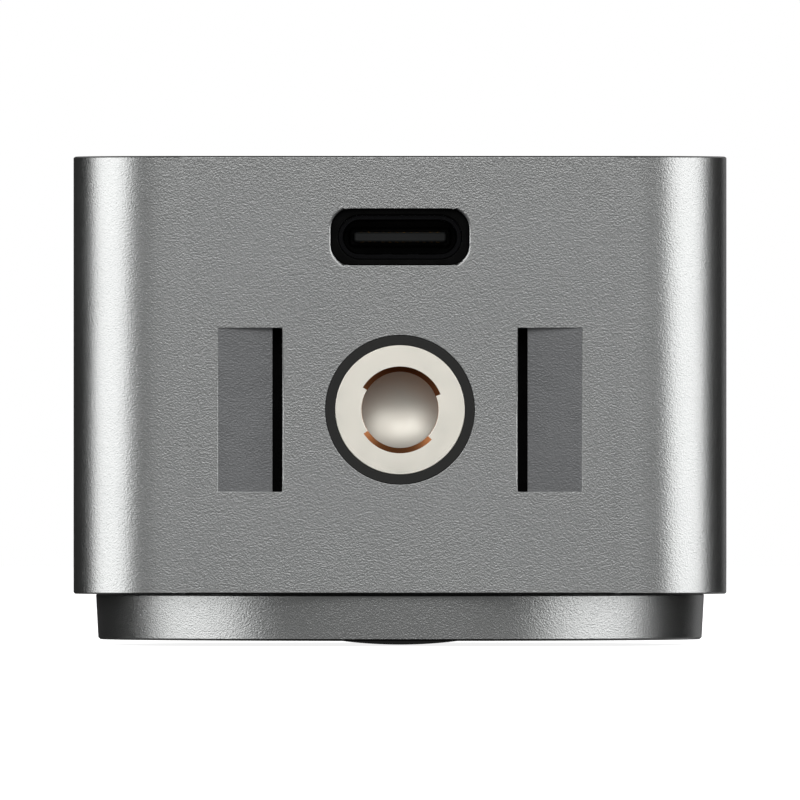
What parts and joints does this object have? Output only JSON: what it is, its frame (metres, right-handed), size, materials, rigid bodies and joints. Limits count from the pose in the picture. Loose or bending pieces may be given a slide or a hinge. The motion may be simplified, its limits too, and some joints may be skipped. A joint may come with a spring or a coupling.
{
  "type": "compact webcam",
  "caption": "Compact square webcam in grey aluminium with a round front barrel, glass dome, USB-C port, tripod thread insert and two clip pockets; its lens slides a little to focus.",
  "frame": {"origin": "under the middle of the square body, level with the tip of the front dome, on which the part stands nose down", "axes": "+Z runs from the lens to the rear cover, so the camera looks along -Z; the face with the thread and the USB-C port looks along -Y; +X is to the right of that face"},
  "size_m": [0.0476, 0.0476, 0.0358],
  "materials": {
    "blasted_aluminium": "bead-blasted and anodised space grey, satin",
    "panel_gloss": "black, back-printed behind a glossy clear face",
    "black_anodised": "turned and anodised black",
    "dome_glass": "dark convex cover glass, polished",
    "circuit_board": "glass-epoxy board under green solder mask",
    "clear_acrylic": "clear moulded light guide",
    "steel": "stamped or turned, bright",
    "black_nylon": "moulded glass-filled nylon, black",
    "nickel_brass": "turned brass under a warm satin nickel plate",
    "collar_plastic": "moulded dark grey plastic",
    "lens_glass": "ground and coated optical glass",
    "coil_copper": "enamelled copper wire, wound",
    "magnet_nickel": "sintered magnet under bright nickel",
    "spring_bronze": "etched spring bronze sheet",
    "filter_glass": "thin blue-green filter glass",
    "sensor_ceramic": "sensor die under its cover glass, on a ceramic body",
    "thermal_pad": "soft filled silicone pad",
    "bare_aluminium": "machined, uncoated",
    "flex_circuit": "amber polyimide flexible circuit",
    "chip_plastic": "moulded black epoxy or liquid-crystal polymer",
    "black_steel": "steel with a black plated finish",
    "black_silicone": "moulded black silicone"
  },
  "bodies": {
    "camera": {"body_shell": "blasted_aluminium", "barrel_ring": "blasted_aluminium", "rear_cover": "blasted_aluminium", "face_panel": "panel_gloss", "lens_bezel": "black_anodised", "front_dome": "dome_glass", "ring_board": "circuit_board", "sensor_board": "circuit_board", "main_board": "circuit_board", "light_pipe": "clear_acrylic", "microphone_left": "steel", "microphone_right": "steel", "retainer_screw_left": "steel", "retainer_screw_right": "steel", "drive_yoke": "steel", "barrel_screw_1": "steel", "barrel_screw_2": "steel", "barrel_screw_3": "steel", "barrel_screw_4": "steel", "board_screw_1": "steel", "board_screw_2": "steel", "board_screw_3": "steel", "board_screw_4": "steel", "chassis": "black_nylon", "insert_retainer": "black_nylon", "lens_base": "black_nylon", "tripod_insert": "nickel_brass", "board_standoff_1": "nickel_brass", "board_standoff_2": "nickel_brass", "board_standoff_3": "nickel_brass", "board_standoff_4": "nickel_brass", "insert_collar": "collar_plastic", "drive_magnet_left": "magnet_nickel", "drive_magnet_right": "magnet_nickel", "leaf_spring": "spring_bronze", "infrared_filter": "filter_glass", "image_sensor": "sensor_ceramic", "sensor_thermal_pad": "thermal_pad", "processor_thermal_pad": "thermal_pad", "sensor_heat_plate": "bare_aluminium", "heat_block": "bare_aluminium", "sensor_flex": "flex_circuit", "processor": "chip_plastic", "memory_chip": "chip_plastic", "usb_c_tongue": "chip_plastic", "usb_c_shell": "black_steel", "cover_screw_1": "black_steel", "cover_screw_2": "black_steel", "cover_screw_3": "black_steel", "cover_screw_4": "black_steel", "usb_c_gasket": "black_silicone"},
    "lens_carriage": {"lens_barrel": "black_anodised", "lens_element_1": "lens_glass", "lens_spacer_1": "black_anodised", "lens_element_2": "lens_glass", "lens_spacer_2": "black_anodised", "lens_element_3": "lens_glass", "lens_lock_ring": "black_anodised", "lens_carrier": "black_nylon", "voice_coil": "coil_copper"}
  },
  "joints": [
    {"name": "lens_focus", "type": "slide", "parent": "camera", "child": "lens_carriage", "axis": [0, 0, -1], "range_m": [0, 0.0003], "stiffness_N_per_m": 400, "springref_m": -0.0003}
  ]
}
